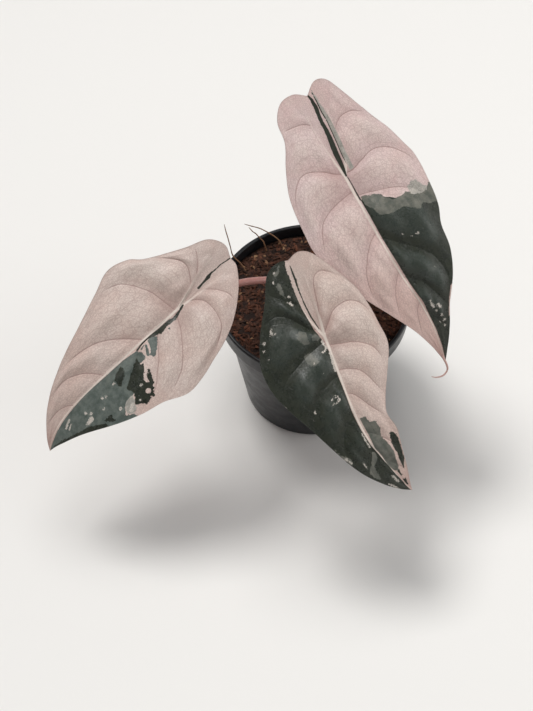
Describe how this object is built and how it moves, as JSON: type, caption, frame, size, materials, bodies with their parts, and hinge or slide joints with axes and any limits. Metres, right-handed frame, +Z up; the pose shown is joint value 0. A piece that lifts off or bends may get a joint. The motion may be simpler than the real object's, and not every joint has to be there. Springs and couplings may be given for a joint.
{
  "type": "potted alocasia chantrieri",
  "caption": "Young alocasia with large shield-shaped pink and green variegated leaves on arching stalks, growing from a corm in a round black nursery pot of coir potting mix.",
  "frame": {"origin": "middle of the pot's foot, on the surface it stands on", "axes": "+Z up; -Y towards the viewer of the picture, +X to the viewer's right"},
  "size_m": [0.2345, 0.1993, 0.2311],
  "materials": {
    "pot_plastic": "satin black moulded plastic",
    "potting_mix": "loose chopped coir and bark, matt",
    "corm_bark": "rough and ringed with old leaf scars",
    "stalk_pink": "smooth, waxy",
    "leaf_left": "leathery, satin, finely netted",
    "leaf_rear": "leathery, satin, finely netted",
    "leaf_front": "leathery, glossy where green",
    "dry_sheath": "dry, papery, fibrous",
    "coir": "dry fibre"
  },
  "bodies": {
    "root": {"pot": "pot_plastic", "potting_mix": "potting_mix", "corm": "corm_bark", "stalk_left": "stalk_pink", "stalk_rear": "stalk_pink", "stalk_front": "stalk_pink", "blade_left": "leaf_left", "blade_rear": "leaf_rear", "blade_front": "leaf_front", "husk_left": "dry_sheath", "husk_right": "dry_sheath", "coir_strand_1": "coir", "coir_strand_2": "coir", "coir_strand_3": "coir"}
  },
  "joints": []
}
